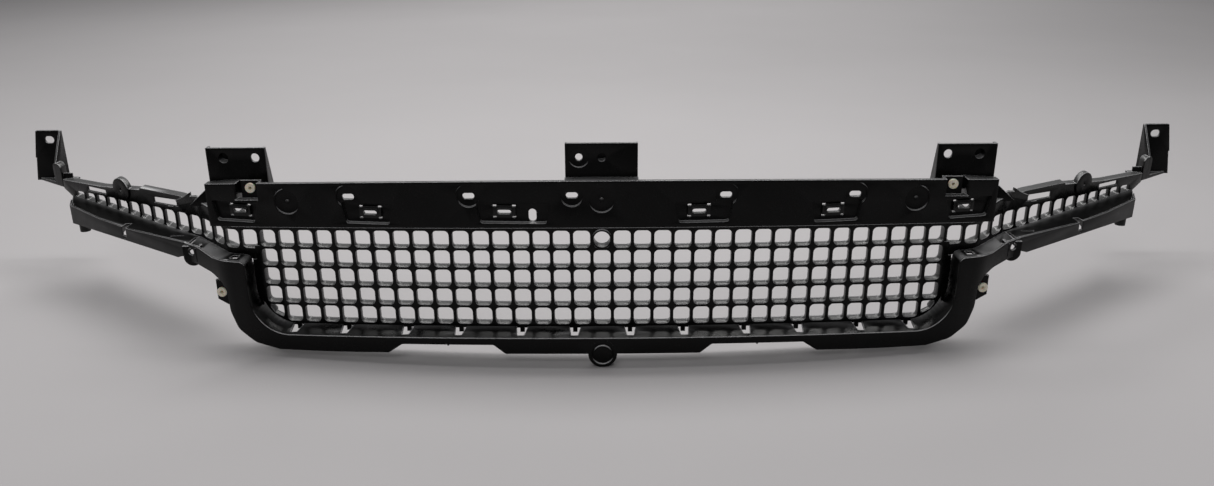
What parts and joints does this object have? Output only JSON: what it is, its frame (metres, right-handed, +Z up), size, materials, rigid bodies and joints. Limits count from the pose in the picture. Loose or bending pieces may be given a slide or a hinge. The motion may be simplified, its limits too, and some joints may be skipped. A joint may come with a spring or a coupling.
{
  "type": "front grille",
  "caption": "Black plastic car front grille: an open square mesh with swept wings, an upper panel, a lower surround, mounting brackets and white screw grommets.",
  "frame": {"origin": "under the centre of the bounding box, at the level of the lowest point of the surround's foot", "axes": "+X along the grille's length, to the right seen from the front, -Y to the front, +Z up"},
  "size_m": [1.602, 0.3662, 0.2452],
  "materials": {
    "satin_black": "satin moulded black",
    "grained_black": "fine-grained moulded black",
    "strip_black": "coarse-grained moulded black",
    "clip_black": "smooth moulded black",
    "white_nylon": "moulded natural nylon"
  },
  "bodies": {
    "root": {"upper_panel": "satin_black", "centre_mesh": "satin_black", "wing_mesh_left": "satin_black", "wing_mesh_right": "satin_black", "lower_surround": "grained_black", "wing_strip_left": "strip_black", "wing_strip_right": "strip_black", "centre_bracket": "satin_black", "side_bracket_left": "satin_black", "side_bracket_right": "satin_black", "tip_bracket_left": "satin_black", "tip_bracket_right": "satin_black", "upper_grommet_left": "white_nylon", "upper_grommet_right": "white_nylon", "lower_grommet_left": "white_nylon", "lower_grommet_right": "white_nylon", "panel_clip_1": "clip_black", "panel_clip_2": "clip_black", "panel_clip_3": "clip_black", "panel_clip_4": "clip_black", "panel_clip_5": "clip_black", "panel_clip_6": "clip_black"}
  },
  "joints": []
}
